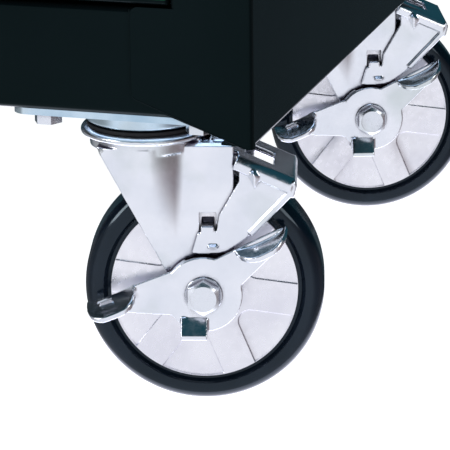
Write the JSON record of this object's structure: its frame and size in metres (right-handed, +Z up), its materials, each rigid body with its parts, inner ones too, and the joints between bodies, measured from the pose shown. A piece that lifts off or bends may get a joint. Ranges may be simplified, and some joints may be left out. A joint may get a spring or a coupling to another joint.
{
  "type": "rolling tool chest",
  "caption": "Rolling tool chest: black steel cabinet with full-width drawers, push handle, lock, braked swivel casters on one side and rigid casters on the other.",
  "frame": {"origin": "on the floor, under the middle of the cabinet", "axes": "+Z up, -Y out of the front of the drawers, +X to the right seen from the front"},
  "size_m": [0.7585, 0.4855, 1.003],
  "materials": {
    "cabinet_paint": "gloss black enamel",
    "drawer_paint": "gloss black enamel with a thin dark green line at the lower edge",
    "pull_trim": "satin anodised",
    "slide_steel": "zinc plated",
    "mat_rubber": "matt ribbed",
    "handle_chrome": "polished",
    "bracket_cast": "black enamel on cast metal",
    "lock_chrome": "polished",
    "fastener_zinc": "bright blue zinc plate",
    "caster_zinc": "bright blue zinc plate, polished",
    "wheel_alloy": "satin die-cast, fine brushed",
    "bearing_steel": "ground",
    "tyre": "gloss black polyurethane"
  },
  "bodies": {
    "cabinet": {"side_left": "cabinet_paint", "side_right": "cabinet_paint", "kick_plate": "cabinet_paint", "caster_rails": "cabinet_paint", "base_pan": "cabinet_paint", "back_panel": "cabinet_paint", "top_lid": "cabinet_paint", "top_mat": "mat_rubber", "handle_bar": "handle_chrome", "handle_brackets": "bracket_cast", "slide_frame": "slide_steel", "caster_bolts": "fastener_zinc", "front_right_plate": "caster_zinc", "front_right_king_pin": "fastener_zinc", "rear_right_plate": "caster_zinc", "rear_right_king_pin": "fastener_zinc", "front_left_frame": "caster_zinc", "front_left_axle": "fastener_zinc", "rear_left_frame": "caster_zinc", "rear_left_axle": "fastener_zinc"},
    "lock": {"lock_barrel": "lock_chrome"},
    "drawer_1": {"drawer_1_box": "drawer_paint", "drawer_1_pull": "pull_trim", "drawer_1_runners": "slide_steel"},
    "drawer_2": {"drawer_2_box": "drawer_paint", "drawer_2_pull": "pull_trim", "drawer_2_runners": "slide_steel"},
    "drawer_3": {"drawer_3_box": "drawer_paint", "drawer_3_pull": "pull_trim", "drawer_3_runners": "slide_steel"},
    "drawer_4": {"drawer_4_box": "drawer_paint", "drawer_4_pull": "pull_trim", "drawer_4_runners": "slide_steel"},
    "drawer_5": {"drawer_5_box": "drawer_paint", "drawer_5_pull": "pull_trim", "drawer_5_runners": "slide_steel"},
    "drawer_6": {"drawer_6_box": "drawer_paint", "drawer_6_pull": "pull_trim", "drawer_6_runners": "slide_steel"},
    "front_right_swivel": {"front_right_fork": "caster_zinc", "front_right_balls": "bearing_steel", "front_right_axle": "fastener_zinc"},
    "front_right_roller": {"front_right_wheel": "wheel_alloy", "front_right_tyre": "tyre", "front_right_bearings": "bearing_steel"},
    "front_right_rocker": {"front_right_pedal": "caster_zinc"},
    "front_right_stirrup": {"front_right_brake_arm": "caster_zinc"},
    "rear_right_swivel": {"rear_right_fork": "caster_zinc", "rear_right_balls": "bearing_steel", "rear_right_axle": "fastener_zinc"},
    "rear_right_roller": {"rear_right_wheel": "wheel_alloy", "rear_right_tyre": "tyre", "rear_right_bearings": "bearing_steel"},
    "rear_right_rocker": {"rear_right_pedal": "caster_zinc"},
    "rear_right_stirrup": {"rear_right_brake_arm": "caster_zinc"},
    "front_left_roller": {"front_left_wheel": "wheel_alloy", "front_left_tyre": "tyre"},
    "rear_left_roller": {"rear_left_wheel": "wheel_alloy", "rear_left_tyre": "tyre"}
  },
  "joints": [
    {"name": "lock_turn", "type": "hinge", "parent": "cabinet", "child": "lock", "pos_m": [0.273, -0.235, 0.986], "axis": [0, -1, 0], "range_deg": [0, 90]},
    {"name": "drawer_1_slide", "type": "slide", "parent": "cabinet", "child": "drawer_1", "axis": [0, -1, 0], "range_m": [0, 0.33]},
    {"name": "drawer_2_slide", "type": "slide", "parent": "cabinet", "child": "drawer_2", "axis": [0, -1, 0], "range_m": [0, 0.33]},
    {"name": "drawer_3_slide", "type": "slide", "parent": "cabinet", "child": "drawer_3", "axis": [0, -1, 0], "range_m": [0, 0.33]},
    {"name": "drawer_4_slide", "type": "slide", "parent": "cabinet", "child": "drawer_4", "axis": [0, -1, 0], "range_m": [0, 0.33]},
    {"name": "drawer_5_slide", "type": "slide", "parent": "cabinet", "child": "drawer_5", "axis": [0, -1, 0], "range_m": [0, 0.33]},
    {"name": "drawer_6_slide", "type": "slide", "parent": "cabinet", "child": "drawer_6", "axis": [0, -1, 0], "range_m": [0, 0.33]},
    {"name": "front_right_swivel_turn", "type": "hinge", "parent": "cabinet", "child": "front_right_swivel", "pos_m": [0.269, -0.18, 0.15], "axis": [0, 0, 1], "continuous": true},
    {"name": "front_right_wheel_roll", "type": "hinge", "parent": "front_right_swivel", "child": "front_right_roller", "pos_m": [0.29821, -0.17234, 0.0635], "axis": [0.2538, -0.9673, 0], "continuous": true},
    {"name": "front_right_pedal_press", "type": "hinge", "parent": "front_right_swivel", "child": "front_right_rocker", "pos_m": [0.29821, -0.17234, 0.0635], "axis": [0.2538, -0.9673, 0], "range_deg": [0, 14]},
    {"name": "front_right_brake_tip", "type": "hinge", "parent": "front_right_swivel", "child": "front_right_stirrup", "pos_m": [0.30044, -0.17175, 0.0988], "axis": [0.2538, -0.9673, 0], "range_deg": [-7, 0]},
    {"name": "rear_right_swivel_turn", "type": "hinge", "parent": "cabinet", "child": "rear_right_swivel", "pos_m": [0.269, 0.18, 0.15], "axis": [0, 0, 1], "continuous": true},
    {"name": "rear_right_wheel_roll", "type": "hinge", "parent": "rear_right_swivel", "child": "rear_right_roller", "pos_m": [0.29752, 0.18993, 0.0635], "axis": [0.3289, -0.9444, 0], "continuous": true},
    {"name": "rear_right_pedal_press", "type": "hinge", "parent": "rear_right_swivel", "child": "rear_right_rocker", "pos_m": [0.29752, 0.18993, 0.0635], "axis": [0.3289, -0.9444, 0], "range_deg": [0, 14]},
    {"name": "rear_right_brake_tip", "type": "hinge", "parent": "rear_right_swivel", "child": "rear_right_stirrup", "pos_m": [0.29969, 0.19069, 0.0988], "axis": [0.3289, -0.9444, 0], "range_deg": [-7, 0]},
    {"name": "front_left_wheel_roll", "type": "hinge", "parent": "cabinet", "child": "front_left_roller", "pos_m": [-0.269, -0.18, 0.0635], "axis": [0, -1, 0], "continuous": true},
    {"name": "rear_left_wheel_roll", "type": "hinge", "parent": "cabinet", "child": "rear_left_roller", "pos_m": [-0.269, 0.18, 0.0635], "axis": [0, -1, 0], "continuous": true}
  ],
  "couplings": [
    {"joint": "front_right_brake_tip", "follows": "front_right_pedal_press", "ratio": -0.5},
    {"joint": "rear_right_brake_tip", "follows": "rear_right_pedal_press", "ratio": -0.5}
  ]
}
